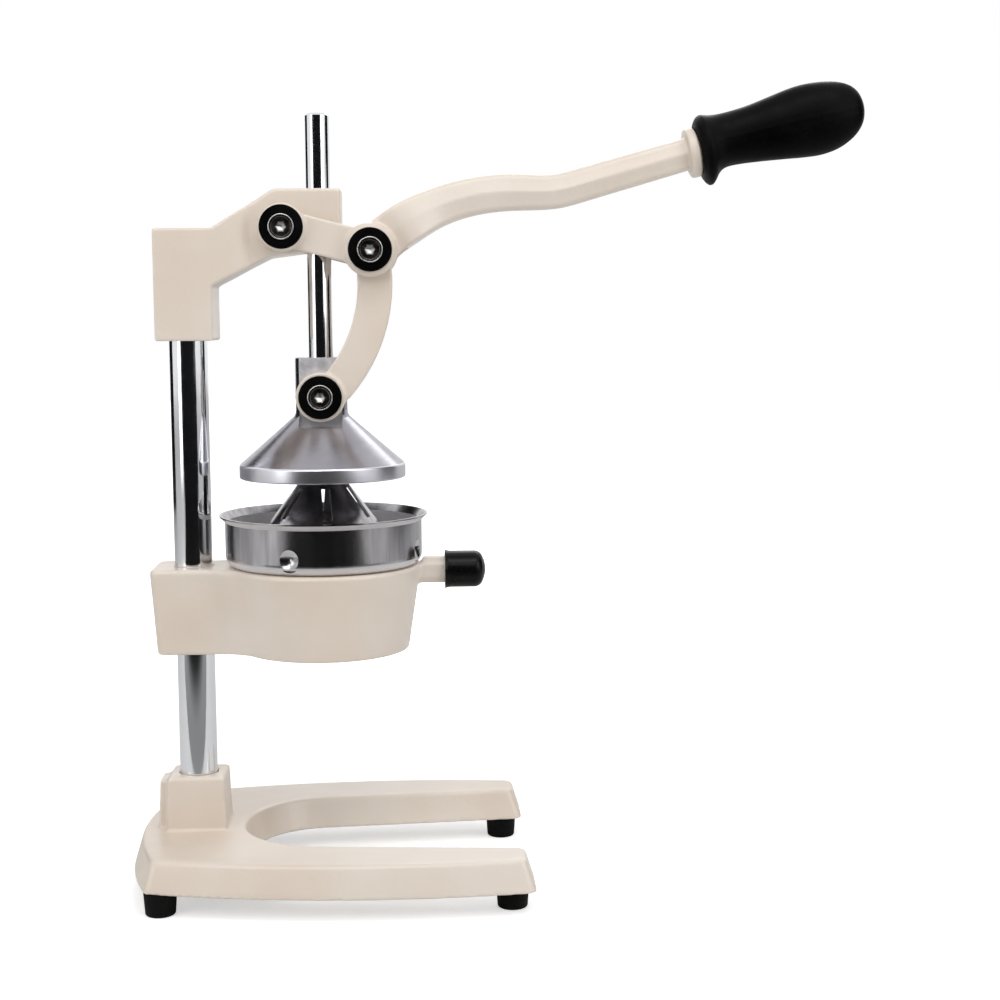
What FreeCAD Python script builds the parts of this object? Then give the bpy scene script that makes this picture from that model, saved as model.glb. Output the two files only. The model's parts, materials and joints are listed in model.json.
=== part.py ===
# Lever citrus press: a cast base and column carry a head, and a forked lever drives a press cup
# down over a reamer through a curved connecting rod. Millimetres, +Z up, +X towards the lever's
# grip. The origin lies on the counter, on the axis of the press.
import FreeCAD, Part
import Sketcher
import math
import os

doc = FreeCAD.newDocument("CitrusPress")
sheet = doc.addObject("Spreadsheet::Sheet", "Sizes")
Vector = FreeCAD.Vector
UP = Vector(0, 0, 1)


class Size:
    """A number together with the sheet expression that gives it."""

    def __init__(self, value, text):
        self.value = value
        self.text = text

    def __add__(self, other):
        other = as_size(other)
        return Size(self.value + other.value, f"({self.text} + {other.text})")

    def __sub__(self, other):
        other = as_size(other)
        return Size(self.value - other.value, f"({self.text} - {other.text})")

    def __mul__(self, other):
        other = as_size(other)
        return Size(self.value * other.value, f"({self.text} * {other.text})")

    def __truediv__(self, other):
        other = as_size(other)
        return Size(self.value / other.value, f"({self.text} / {other.text})")

    def __neg__(self):
        return Size(-self.value, f"(0 - {self.text})")

    def __radd__(self, other):
        return as_size(other) + self

    def __rsub__(self, other):
        return as_size(other) - self

    def __rmul__(self, other):
        return as_size(other) * self


def as_size(number):
    """A plain number as a Size, so that both kinds can be mixed in one sum."""
    if isinstance(number, Size):
        return number
    return Size(float(number), repr(float(number)))


def root(square):
    return Size(math.sqrt(square.value), f"sqrt({square.text})")


def sine(degrees):
    degrees = as_size(degrees)
    return Size(math.sin(math.radians(degrees.value)), f"sin({degrees.text} * 1deg)")


def cosine(degrees):
    degrees = as_size(degrees)
    return Size(math.cos(math.radians(degrees.value)), f"cos({degrees.text} * 1deg)")


class Rows:
    """The sheet's rows by name, each as a Size."""

    def __init__(self, given):
        for row, (name, value) in enumerate(given.items(), 1):
            sheet.set(f"A{row}", name)
            sheet.set(f"B{row}", str(value))
            sheet.setAlias(f"B{row}", name)
            setattr(self, name, Size(float(value), f"Sizes.{name}"))


# The driving dimensions, in millimetres and degrees
SIZES = {
    # Clearances
    "seat_gap": 0.3,
    "running_gap": 0.05,
    "thread_gap": 0.1,
    # Feet and base
    "foot_height": 13.3,
    "foot_dia": 18.8,
    "foot_side": 67.6,
    "foot_rear": 91.2,
    "foot_front": 106.4,
    "base_thick": 18.5,
    "base_draft": 17,
    "base_front": 119.5,
    "base_rear": 114,
    "base_rear_corner": 99.5,
    "base_half": 93.5,
    "base_side_radius": 540,
    "base_side_centre": 40,
    "bay_radius": 44,
    "bay_mouth_half": 55,
    "base_skin": 5,
    "base_edge": 2.5,
    # Column
    "column_dia": 22,
    "column_back": 76.6,
    "column_foot": 24,
    "column_top": 366,
    "column_fit": 0.2,
    "socket_half_long": 16.5,
    "socket_half_wide": 16,
    "socket_top": 63.8,
    "socket_draft": 2,
    "rib_half": 9,
    "rib_reach": 5.5,
    "rib_drop": 3,
    "bolt_dia": 8,
    "bolt_head_high": 5.3,
    "washer_dia": 18,
    "washer_thick": 1.6,
    # Bowl holder
    "holder_top": 187.5,
    "holder_high": 50.3,
    "holder_ring": 57,
    "holder_ring_draft": 8.6,
    "holder_block_draft": 3.6,
    "holder_half": 22,
    "holder_back": 100,
    "holder_sweep": 26,
    "holder_bore": 49.5,
    "ledge_bore": 45,
    "ledge_drop": 7.5,
    "stub_end": 90,
    "stub_high": 15.4,
    "stub_wide": 15,
    "stub_bevel": 3.8,
    "stub_drop": 4.3,
    "cap_start": 71,
    "cap_end": 95,
    "cap_dia": 21.6,
    "cap_lip": 0.8,
    # Bowl, reamer and funnel
    "sheet_metal": 1,
    "bowl_radius": 57.6,
    "bowl_high": 30,
    "bowl_bend": 6.5,
    "bowl_rim": 60.8,
    "drain_circle": 47,
    "drain_dia": 4,
    "drain_count": 16,
    "dent_half": 6.3,
    "dent_deep": 2,
    "dent_rise": 9.5,
    "dent_turn": -107,
    "dent_count": 4,
    "reamer_foot": 43.5,
    "reamer_mid": 31.2,
    "reamer_mid_high": 24.7,
    "reamer_top": 9,
    "reamer_high": 59.5,
    "reamer_wall": 1.2,
    "slot_wide": 5,
    "slot_low": 27.5,
    "slot_high": 17,
    "slot_turn": 38,
    "slot_count": 6,
    "spout_radius": 9,
    "spout_tip": 130,
    "spout_long": 13,
    # Head
    "head_low": 319,
    "head_shoulder": 382.8,
    "head_top": 405.3,
    "head_half_wide": 19.5,
    "arm_half_wide": 13.5,
    "guide_front": 13.3,
    "guide_low": 368.8,
    "bush_dia": 18,
    "head_sweep": 40,
    "grub_dia": 8,
    # Plunger and press cup
    "shaft_dia": 14,
    "shaft_top": 448.2,
    "spigot_dia": 12,
    "cup_radius": 48.5,
    "cup_low": 238.8,
    "cup_band": 8,
    "cup_wall": 3,
    "cup_dome": 27,
    "neck_radius": 15.1,
    "neck_low": 275,
    "neck_top": 308.8,
    "flat_half": 8.5,
    "flat_low": 268.6,
    # Pivots: the lever turns on the head, the rod hangs on the lever and carries the plunger
    "head_pivot_x": -20,
    "head_pivot_z": 383,
    "link_pivot_x": 30,
    "link_pivot_z": 370,
    "yoke_pivot_z": 286,
    "pin_dia": 10,
    "sleeve_dia": 13,
    "disc_dia": 24.9,
    "disc_thick": 2.4,
    "ring_dia": 14.8,
    "ring_wall": 0.7,
    "screw_dia": 6,
    "hex_flat": 5,
    "linkage_slack": 4.4,
    # Lever
    "cheek_gap": 0.3,
    "cheek_thick": 5.7,
    "boss_rise": 3.5,
    "web_half": 10.2,
    "head_boss": 13,
    "link_boss": 13.9,
    "head_flare": 0.9,
    "link_flare": 1.6,
    "fork_end": 51,
    "lever_tilt": 15.5,
    "collar_x": 217.2,
    "collar_z": 425.7,
    "collar_dia": 28.9,
    "collar_thick": 6,
    "tang_dia": 12,
    "tang_long": 60,
    # Grip
    "grip_tilt": 12.5,
    "guard_dia": 41,
    "guard_thick": 9.5,
    "grip_long": 103.5,
    # Connecting rod
    "rod_half_wide": 13.5,
    "rod_eye": 14,
    "yoke_boss": 14.3,
    "yoke_boss_rise": 2,
    "rod_slot_top": 350,
    "rod_outer_radius": 102,
    "rod_inner_radius": 79,
}

size = Rows(SIZES)

doc.recompute()

NOTHING = as_size(0)
nodes = []


def body(name):
    """An empty sub-part whose label is its node name."""
    part = doc.addObject("PartDesign::Body", name)
    part.Label = name
    nodes.append(part)
    return part


def plane_of(part, role):
    return next(item for item in part.Origin.OriginFeatures if item.Role == role)


def sketch(part, role, shift=(0, 0, 0), tilt=None):
    """A sketch on one of the sub-part's own planes, moved along the plane's own axes."""
    drawing = part.newObject("Sketcher::SketchObject", part.Name + "_outline")
    drawing.AttachmentSupport = [(plane_of(part, role), "")]
    drawing.MapMode = "FlatFace"
    if tilt is not None:
        axis, angle = tilt
        angle = as_size(angle)
        turn = FreeCAD.Rotation(axis, angle.value)
        drawing.AttachmentOffset = FreeCAD.Placement(Vector(0, 0, 0), turn)
        drawing.setExpression("AttachmentOffset.Rotation.Angle", f"{angle.text} * 1deg")
    for letter, amount in zip("xyz", shift):
        if isinstance(amount, Size):
            drawing.setExpression(f"AttachmentOffset.Base.{letter}", amount.text)
    doc.recompute()
    return drawing


def fix(drawing, kind, place, amount):
    """A sketch constraint whose value follows the sheet."""
    amount = as_size(amount)
    number = drawing.addConstraint(Sketcher.Constraint(kind, *place, amount.value))
    drawing.setExpression(f"Constraints[{number}]", amount.text)


def end_at(drawing, edge, point):
    """Which end of the edge (1 start, 2 end) lies at the point."""
    start = drawing.getPoint(edge, 1)
    return 1 if (start - point).Length < 1e-4 else 2


def outline(drawing, corners):
    """A closed outline. A corner is (x, y), or (x, y, radius) if an arc leaves it:
    a positive radius has its centre on the left of the way round, a negative on the right."""
    points = [Vector(as_size(c[0]).value, as_size(c[1]).value, 0) for c in corners]
    edges = []
    for here, corner in enumerate(corners):
        start = points[here]
        stop = points[(here + 1) % len(corners)]
        if len(corner) == 2:
            edges.append(drawing.addGeometry(Part.LineSegment(start, stop)))
            continue
        radius = as_size(corner[2])
        chord = stop - start
        left = Vector(-chord.y, chord.x, 0).normalize()
        side = 1 if radius.value > 0 else -1
        bend = abs(radius.value)
        deep = math.sqrt(max(bend * bend - chord.Length ** 2 / 4, 0))
        middle = (start + stop) * 0.5 - left * (side * (bend - deep))
        edges.append(drawing.addGeometry(Part.Arc(start, middle, stop)))
    for here, corner in enumerate(corners):
        edge = edges[here]
        after = edges[(here + 1) % len(corners)]
        next_point = points[(here + 1) % len(corners)]
        drawing.addConstraint(Sketcher.Constraint("Coincident", edge, end_at(drawing, edge, next_point),
            after, end_at(drawing, after, next_point)))
    for here, corner in enumerate(corners):
        edge = edges[here]
        end = end_at(drawing, edge, points[here])
        fix(drawing, "DistanceX", (-1, 1, edge, end), corner[0])
        fix(drawing, "DistanceY", (-1, 1, edge, end), corner[1])
        if len(corner) == 3:
            radius = as_size(corner[2])
            fix(drawing, "Radius", (edge,), radius if radius.value > 0 else -radius)


def circle(drawing, x, y, radius):
    x, y, radius = as_size(x), as_size(y), as_size(radius)
    edge = drawing.addGeometry(Part.Circle(Vector(x.value, y.value, 0), UP, radius.value))
    fix(drawing, "Radius", (edge,), radius)
    fix(drawing, "DistanceX", (-1, 1, edge, 3), x)
    fix(drawing, "DistanceY", (-1, 1, edge, 3), y)


def rectangle(drawing, x_low, y_low, x_high, y_high):
    outline(drawing, [(x_low, y_low), (x_high, y_low), (x_high, y_high), (x_low, y_high)])


def six_sides(drawing, x, y, across):
    """A hexagon with two corners on the drawing's x direction, sized across its flats."""
    reach = across / 2 / cosine(30)
    outline(drawing, [(x + reach * cosine(60 * n), y + reach * sine(60 * n)) for n in range(6)])


def feature(part, kind, drawing, length, side="One side", flip=False, draft=None):
    """A pad or pocket of one sketch."""
    made = part.newObject("PartDesign::" + kind, part.Name + "_" + kind.lower())
    made.Profile = drawing
    made.SideType = side
    made.Reversed = flip
    made.setExpression("Length", as_size(length).text)
    if draft is not None:
        draft = as_size(draft)
        made.setExpression("TaperAngle", draft.text)
        if side == "Symmetric":
            made.setExpression("TaperAngle2", draft.text)
    doc.recompute()
    return made


def pad(part, drawing, length, **how):
    return feature(part, "Pad", drawing, length, **how)


def pocket(part, drawing, length, **how):
    """A pocket that must take something away."""
    before = part.Shape.Volume
    made = feature(part, "Pocket", drawing, length, **how)
    if part.Shape.Volume > before - 1e-3:
        raise RuntimeError(f"a pocket of {part.Label} cuts nothing")
    return made


def turned(part, drawing, axis="V_Axis", cut=False):
    """The sketch turned once round its own axis, added or cut away."""
    kind = "Groove" if cut else "Revolution"
    before = part.Shape.Volume if cut else 0
    made = part.newObject("PartDesign::" + kind, part.Name + "_turned")
    made.Profile = drawing
    made.ReferenceAxis = (drawing, [axis])
    made.Angle = 360
    doc.recompute()
    if cut and part.Shape.Volume > before - 1e-3:
        raise RuntimeError(f"a groove of {part.Label} cuts nothing")
    return made


def around(part, made, count):
    """Copies of a feature round the sub-part's Z axis."""
    axis = next(item for item in part.Origin.OriginFeatures if item.Role == "Z_Axis")
    ring = part.newObject("PartDesign::PolarPattern", part.Name + "_ring")
    ring.Originals = made
    ring.Axis = (axis, [""])
    ring.Angle = 360
    ring.setExpression("Occurrences", count.text)
    part.Tip = ring
    doc.recompute()
    return ring


def round_edges(part, radius, wanted):
    """Rounds the edges of the sub-part so far that the test picks."""
    last = part.Tip
    names = [f"Edge{n}" for n, edge in enumerate(last.Shape.Edges, 1) if wanted(edge)]
    made = part.newObject("PartDesign::Fillet", part.Name + "_rounding")
    made.Base = (last, names)
    made.setExpression("Radius", as_size(radius).text)
    doc.recompute()
    return made


def level(edge, height):
    """Whether the whole edge lies at one height."""
    box = edge.BoundBox
    return abs(box.ZMin - height.value) < 0.01 and abs(box.ZMax - height.value) < 0.01


def upright(edge):
    """Whether the edge climbs more than it runs."""
    box = edge.BoundBox
    return box.ZLength > max(box.XLength, box.YLength)


def loft(part, rings, ruled=True):
    """A solid through several outlines that have the same corners."""
    made = part.newObject("PartDesign::AdditiveLoft", part.Name + "_loft")
    made.Profile = rings[0]
    made.Sections = rings[1:]
    made.Ruled = ruled
    doc.recompute()
    return made


def cap_radius(half, rise):
    """The radius of a round cap of this half width and rise."""
    return (half * half + rise * rise) / (2 * rise)


def base_outline(drawing, inset):
    """The base's U in plan, or the same U drawn in all round by the inset."""
    side, front = size.base_side_radius - inset, size.base_front - inset
    side_x, side_y = size.base_side_centre, size.base_half - size.base_side_radius
    mouth_run = front - side_x
    mouth = side_y + root(side * side - mouth_run * mouth_run)
    # The rear is an arc through its middle and the two rear corners, which the sides' arcs meet
    corner_run = size.base_rear_corner + side_x
    corner_y = side_y + root(size.base_side_radius * size.base_side_radius - corner_run * corner_run)
    bulge = size.base_rear - size.base_rear_corner
    whole = (corner_y * corner_y + bulge * bulge) / 2 / bulge
    rear = whole - inset
    rear_x = whole - size.base_rear
    apart_x, apart_y = rear_x - side_x, -side_y
    apart = root(apart_x * apart_x + apart_y * apart_y)
    along = (side * side - rear * rear + apart * apart) / 2 / apart
    across = root(side * side - along * along)
    meet_x = side_x + (apart_x * along - apart_y * across) / apart
    meet_y = side_y + (apart_y * along + apart_x * across) / apart
    bay, gap = size.bay_radius + inset, size.bay_mouth_half + inset
    square = front * front + gap * gap
    reach = root(square - bay * bay)
    bay_x = bay * (bay * front - gap * reach) / square
    bay_y = bay * (bay * gap + front * reach) / square
    outline(drawing, [(front, gap), (front, mouth, side), (meet_x, meet_y, rear),
        (meet_x, -meet_y, side), (front, -mouth), (front, -gap), (bay_x, -bay_y, -bay),
        (-bay, NOTHING, -bay), (bay_x, bay_y)])


def make_base():
    part = body("base_casting")
    base_top = size.foot_height + size.base_thick
    front_wall = (size.base_front - size.base_thick).value
    rear_wall = (size.base_thick - size.base_rear_corner).value
    lean = size.base_thick * sine(size.base_draft) / cosine(size.base_draft)
    plan = sketch(part, "XY_Plane", (0, 0, size.foot_height))
    base_outline(plan, NOTHING)
    pad(part, plan, size.base_thick, draft=-size.base_draft)
    round_edges(part, size.base_edge * 2,
        lambda edge: upright(edge) and not rear_wall < edge.BoundBox.Center.x < front_wall)
    round_edges(part, size.base_edge, lambda edge: level(edge, base_top))
    hollow = sketch(part, "XY_Plane", (0, 0, size.foot_height))
    base_outline(hollow, size.base_skin + lean)
    pocket(part, hollow, size.base_thick - size.base_skin, flip=True)
    seats = sketch(part, "XY_Plane", (0, 0, size.foot_height))
    for x in (-size.foot_rear, size.foot_front):
        for y in (-size.foot_side, size.foot_side):
            circle(seats, x, y, size.foot_dia / 2 - 0.4)
    pad(part, seats, size.base_thick - size.base_skin + 1, draft=-(size.base_draft + 2))
    pillar = sketch(part, "XY_Plane", (0, 0, size.foot_height + size.washer_thick))
    circle(pillar, -size.column_back, NOTHING, size.socket_half_long)
    pad(part, pillar, size.base_thick - size.washer_thick - 1)
    socket = sketch(part, "XY_Plane", (0, 0, size.socket_top))
    rectangle(socket, -size.column_back - size.socket_half_long, -size.socket_half_wide,
        -size.column_back + size.socket_half_long, size.socket_half_wide)
    pad(part, socket, size.socket_top - base_top + 2, flip=True, draft=size.socket_draft)
    round_edges(part, size.base_edge / 1.25, lambda edge: level(edge, size.socket_top))
    rib = sketch(part, "XY_Plane", (0, 0, size.socket_top - size.rib_drop))
    rectangle(rib, -size.column_back - size.socket_half_long - size.rib_reach, -size.rib_half,
        -size.column_back, size.rib_half)
    pad(part, rib, size.socket_top - size.rib_drop - base_top + 2, flip=True, draft=size.socket_draft)
    bore = sketch(part, "XY_Plane", (0, 0, size.socket_top))
    circle(bore, -size.column_back, NOTHING, size.column_dia / 2 + size.column_fit)
    pocket(part, bore, size.socket_top - size.column_foot)
    through = sketch(part, "XY_Plane", (0, 0, size.socket_top))
    circle(through, -size.column_back, NOTHING, size.bolt_dia / 2 + size.seat_gap)
    pocket(part, through, size.socket_top)
    holes = sketch(part, "XY_Plane", (0, 0, size.foot_height))
    for x in (-size.foot_rear, size.foot_front):
        for y in (-size.foot_side, size.foot_side):
            circle(holes, x, y, 2.5)
    pocket(part, holes, size.base_thick - size.base_skin, flip=True)
    return part


def make_feet():
    for name, x, y in (("foot_rear_near", -size.foot_rear, -size.foot_side),
            ("foot_rear_far", -size.foot_rear, size.foot_side), ("foot_front_near", size.foot_front,
            -size.foot_side), ("foot_front_far", size.foot_front, size.foot_side)):
        part = body(name)
        profile = sketch(part, "XZ_Plane", (x, 0, -y))
        low = size.foot_dia / 2 - 0.8
        outline(profile, [(2.7, size.foot_height), (2.7, size.foot_height - 4.5),
            (4.6, size.foot_height - 4.5), (4.6, NOTHING), (low - 1.5, NOTHING, 1.5), (low, 1.5),
            (size.foot_dia / 2, size.foot_height)])
        turned(part, profile)
    part = body("foot_screws")
    first = True
    for x in (-size.foot_rear, size.foot_front):
        for y in (-size.foot_side, size.foot_side):
            profile = sketch(part, "XZ_Plane", (x, 0, -y))
            head_top_z = size.foot_height - 4.5
            outline(profile, [(NOTHING, head_top_z - 3), (4.3, head_top_z - 3), (4.3, head_top_z),
                (2.4, head_top_z), (2.4, size.foot_height + 9), (NOTHING, size.foot_height + 9)])
            turned(part, profile)


def make_column():
    part = body("column")
    profile = sketch(part, "XZ_Plane", (-size.column_back, 0, 0))
    bolt = size.bolt_dia / 2
    radius = size.column_dia / 2
    outline(profile, [(bolt, size.column_foot), (radius - 1, size.column_foot),
        (radius, size.column_foot + 1), (radius, size.column_top - 1), (radius - 1, size.column_top),
        (NOTHING, size.column_top), (NOTHING, size.column_foot + 30), (bolt, size.column_foot + 30)])
    turned(part, profile)
    part = body("column_washer")
    plan = sketch(part, "XY_Plane", (-size.column_back, 0, size.foot_height))
    circle(plan, NOTHING, NOTHING, size.washer_dia / 2)
    circle(plan, NOTHING, NOTHING, size.bolt_dia / 2 + size.seat_gap)
    pad(part, plan, size.washer_thick)
    part = body("column_bolt")
    plan = sketch(part, "XY_Plane", (-size.column_back, 0, size.foot_height))
    circle(plan, NOTHING, NOTHING, size.bolt_dia / 2 - size.thread_gap)
    pad(part, plan, size.column_foot + 26 - size.foot_height)
    head = sketch(part, "XY_Plane", (-size.column_back, 0, size.foot_height))
    six_sides(head, NOTHING, NOTHING, size.bolt_dia * 1.625)
    pad(part, head, size.bolt_head_high, flip=True)


def make_holder():
    part = body("bowl_holder")
    rings = []
    for deep in (NOTHING, size.holder_high):
        plan = sketch(part, "XY_Plane", (0, 0, size.holder_top - deep))
        inset = deep * sine(size.holder_block_draft) / cosine(size.holder_block_draft)
        ring = size.holder_ring - deep * sine(size.holder_ring_draft) / cosine(size.holder_ring_draft)
        half, back, sweep = size.holder_half - inset, size.holder_back - inset, size.holder_sweep
        sweep_x = root((ring + sweep) * (ring + sweep) - (half + sweep) * (half + sweep))
        touch_x = sweep_x * ring / (ring + sweep)
        touch_y = (half + sweep) * ring / (ring + sweep)
        outline(plan, [(-touch_x, -touch_y, ring), (ring * 0.6, -ring * 0.8, ring),
            (ring, NOTHING, ring), (ring * 0.6, ring * 0.8, ring), (-touch_x, touch_y, -sweep),
            (-sweep_x, half), (5 - back, half, 5), (-back, half - 5), (-back, 5 - half, 5),
            (5 - back, -half), (-sweep_x, -half, -sweep)])
        rings.append(plan)
    loft(part, rings)
    round_edges(part, 2.2, lambda edge: level(edge, size.holder_top))
    stub = sketch(part, "YZ_Plane", (0, size.holder_top - size.stub_drop, size.holder_bore + 2))
    wide, high, bevel = size.stub_wide / 2, size.stub_high / 2, size.stub_bevel
    outline(stub, [(wide, -high + bevel), (wide, high - bevel), (wide - bevel, high),
        (bevel - wide, high), (-wide, high - bevel), (-wide, bevel - high), (bevel - wide, -high),
        (wide - bevel, -high)])
    pad(part, stub, size.stub_end - size.holder_bore - 2)
    seat = sketch(part, "XY_Plane", (0, 0, size.holder_top + size.stub_high))
    circle(seat, NOTHING, NOTHING, size.holder_bore)
    pocket(part, seat, size.ledge_drop + size.stub_high)
    room = sketch(part, "XY_Plane", (0, 0, size.holder_top + size.stub_high))
    circle(room, NOTHING, NOTHING, size.bowl_radius + size.seat_gap)
    pocket(part, room, size.stub_high)
    well = sketch(part, "XY_Plane", (0, 0, size.holder_top))
    circle(well, NOTHING, NOTHING, size.ledge_bore)
    pocket(part, well, size.holder_high + 1)
    bore = sketch(part, "XY_Plane", (0, 0, size.holder_top))
    circle(bore, -size.column_back, NOTHING, size.column_dia / 2 + size.column_fit)
    pocket(part, bore, size.holder_high + 1)
    grub = sketch(part, "YZ_Plane", (0, size.holder_top - size.holder_high / 2, -size.column_back))
    circle(grub, NOTHING, NOTHING, size.grub_dia / 2)
    pocket(part, grub, size.holder_back)
    return part


def grub_screw(name, height, back):
    """A socket grub screw from the rear that bears on the column."""
    part = body(name)
    start = size.column_back + size.column_dia / 2
    end_face = sketch(part, "YZ_Plane", (0, height, -start))
    circle(end_face, NOTHING, NOTHING, size.grub_dia / 2 - size.thread_gap)
    pad(part, end_face, back - start, flip=True)
    socket = sketch(part, "YZ_Plane", (0, height, -back))
    six_sides(socket, NOTHING, NOTHING, size.grub_dia / 2)
    pocket(part, socket, (back - start) / 2, flip=True)


def make_stub_cap():
    part = body("holder_grip_cap")
    profile = sketch(part, "XZ_Plane", (0, size.holder_top - size.stub_drop, 0))
    radius = size.cap_dia / 2
    corner = root(size.stub_high * size.stub_high / 4 + (size.stub_wide / 2 - size.stub_bevel)
        * (size.stub_wide / 2 - size.stub_bevel))
    inner = corner + size.seat_gap
    dome, dome_rise, shoulder = radius * 0.66, as_size(1.6), as_size(5)
    outline(profile, [(size.stub_end + size.seat_gap, NOTHING),
        (size.cap_end, NOTHING, cap_radius(dome, dome_rise)),
        (size.cap_end - dome_rise, dome, shoulder + 0.4), (size.cap_end - dome_rise - shoulder, radius),
        (size.cap_start + 3, radius, -8), (size.cap_start, radius + size.cap_lip),
        (size.cap_start, inner), (size.stub_end + size.seat_gap, inner)])
    turned(part, profile, axis="H_Axis")


def make_bowl():
    part = body("strainer_bowl")
    floor = size.holder_top
    top = floor + size.bowl_high
    radius, wall, bend = size.bowl_radius, size.sheet_metal, size.bowl_bend
    hole = size.drain_circle - size.drain_dia * 1.8
    profile = sketch(part, "XZ_Plane")
    bead = size.bowl_rim - radius
    outline(profile, [(hole, floor), (radius - bend, floor, bend), (radius, floor + bend),
        (radius, top - bead * 1.2), (size.bowl_rim, top - 0.8), (size.bowl_rim, top),
        (size.bowl_rim - 1.4, top), (radius - wall, top - bead * 1.2 - 0.3),
        (radius - wall, floor + bend, -(bend - wall)), (radius - bend, floor + wall),
        (hole, floor + wall)])
    turned(part, profile)
    drain = sketch(part, "XY_Plane", (0, 0, floor + wall))
    circle(drain, size.drain_circle, NOTHING, size.drain_dia / 2)
    made = pocket(part, drain, wall)
    around(part, [made], size.drain_count)
    face, half = radius - wall, size.dent_half
    # Each dent is a boss inside the wall with a hollow outside it
    for inner, wide, hollow in ((face, half + wall * 0.8, False), (radius, half, True)):
        dent = sketch(part, "XZ_Plane", (0, floor + size.dent_rise, 0),
            tilt=(Vector(0, 1, 0), size.dent_turn))
        rise = size.dent_deep + 0.3
        start = inner + 0.3
        outline(dent, [(start - rise, NOTHING), (start, NOTHING),
            (start, wide, cap_radius(wide, rise))])
        made = turned(part, dent, axis="H_Axis", cut=hollow)
        around(part, [made], size.dent_count)


def make_reamer():
    part = body("reamer_cone")
    floor = size.holder_top + size.sheet_metal
    wall = size.reamer_wall
    top = floor + size.reamer_high
    profile = sketch(part, "XZ_Plane")
    drop = size.reamer_top * 0.6
    inner, inner_drop = size.reamer_top - wall, drop - wall * 0.6
    outline(profile, [(size.reamer_foot - wall, floor), (size.reamer_foot, floor),
        (size.reamer_mid, floor + size.reamer_mid_high),
        (size.reamer_top, top - drop, cap_radius(size.reamer_top, drop)), (NOTHING, top),
        (NOTHING, top - wall, -cap_radius(inner, inner_drop)), (inner, top - wall - inner_drop),
        (size.reamer_mid - wall, floor + size.reamer_mid_high - wall * 0.4)])
    turned(part, profile)
    slot = sketch(part, "YZ_Plane", (0, floor + size.slot_low, 0),
        tilt=(Vector(0, 1, 0), size.slot_turn))
    half = size.slot_wide / 2
    rectangle(slot, -half, NOTHING, half, size.slot_high)
    made = pocket(part, slot, size.reamer_foot, flip=True)
    around(part, [made], size.slot_count)
    return part


def make_funnel():
    part = body("juice_funnel")
    rim_z = size.holder_top - size.ledge_drop
    wall = size.sheet_metal
    profile = sketch(part, "XZ_Plane")
    slope_top = size.ledge_bore - 1
    outline(profile, [(size.holder_bore - size.seat_gap, rim_z),
        (size.holder_bore - size.seat_gap, rim_z + wall), (slope_top - 1, rim_z + wall),
        (size.spout_radius - wall, size.spout_tip + size.spout_long),
        (size.spout_radius - wall, size.spout_tip), (size.spout_radius, size.spout_tip),
        (size.spout_radius, size.spout_tip + size.spout_long - wall * 0.6), (slope_top, rim_z)])
    turned(part, profile)


def make_head():
    part = body("head_casting")
    side = sketch(part, "XZ_Plane")
    back = -size.column_back - size.socket_half_long
    front = -size.column_back + size.socket_half_long
    outline(side, [(back, size.head_low), (front, size.head_low), (front, size.head_low + 31.2),
        (size.head_pivot_x - 8, size.guide_low - 2.6), (size.head_pivot_x + 12, size.guide_low),
        (size.guide_front, size.guide_low), (size.guide_front, size.head_top),
        (size.head_pivot_x - 4.8, size.head_top), (front, size.head_shoulder),
        (back, size.head_shoulder)])
    pad(part, side, size.head_half_wide * 2, side="Symmetric")
    plan = sketch(part, "XY_Plane", (0, 0, size.head_low))
    drop = size.head_half_wide - size.arm_half_wide
    run = root(2 * size.head_sweep * drop - drop * drop)
    for sign in (1, -1):
        outline(plan, [(front, sign * size.head_half_wide, -sign * size.head_sweep),
            (front + run, sign * size.arm_half_wide), (size.guide_front + 1, sign * size.arm_half_wide),
            (size.guide_front + 1, sign * (size.head_half_wide + 1)),
            (front, sign * (size.head_half_wide + 1))])
    pocket(part, plan, size.head_top, flip=True)
    bore = sketch(part, "XY_Plane", (0, 0, size.head_low))
    circle(bore, -size.column_back, NOTHING, size.column_dia / 2 + size.column_fit)
    pocket(part, bore, size.column_top - size.head_low, flip=True)
    guide = sketch(part, "XY_Plane", (0, 0, size.head_top))
    circle(guide, NOTHING, NOTHING, size.bush_dia / 2)
    pocket(part, guide, size.head_top - size.guide_low + 1)
    pivot = sketch(part, "XZ_Plane")
    circle(pivot, size.head_pivot_x, size.head_pivot_z, size.pin_dia / 2 + size.running_gap)
    pocket(part, pivot, size.head_half_wide * 2, side="Symmetric")
    grub = sketch(part, "YZ_Plane", (0, size.head_low + 24, -size.column_back))
    circle(grub, NOTHING, NOTHING, size.grub_dia / 2)
    pocket(part, grub, size.column_back)
    part = body("shaft_guide_bush")
    plan = sketch(part, "XY_Plane", (0, 0, size.guide_low))
    circle(plan, NOTHING, NOTHING, size.bush_dia / 2)
    circle(plan, NOTHING, NOTHING, size.shaft_dia / 2 + size.running_gap)
    pad(part, plan, size.head_top - size.guide_low)


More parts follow.
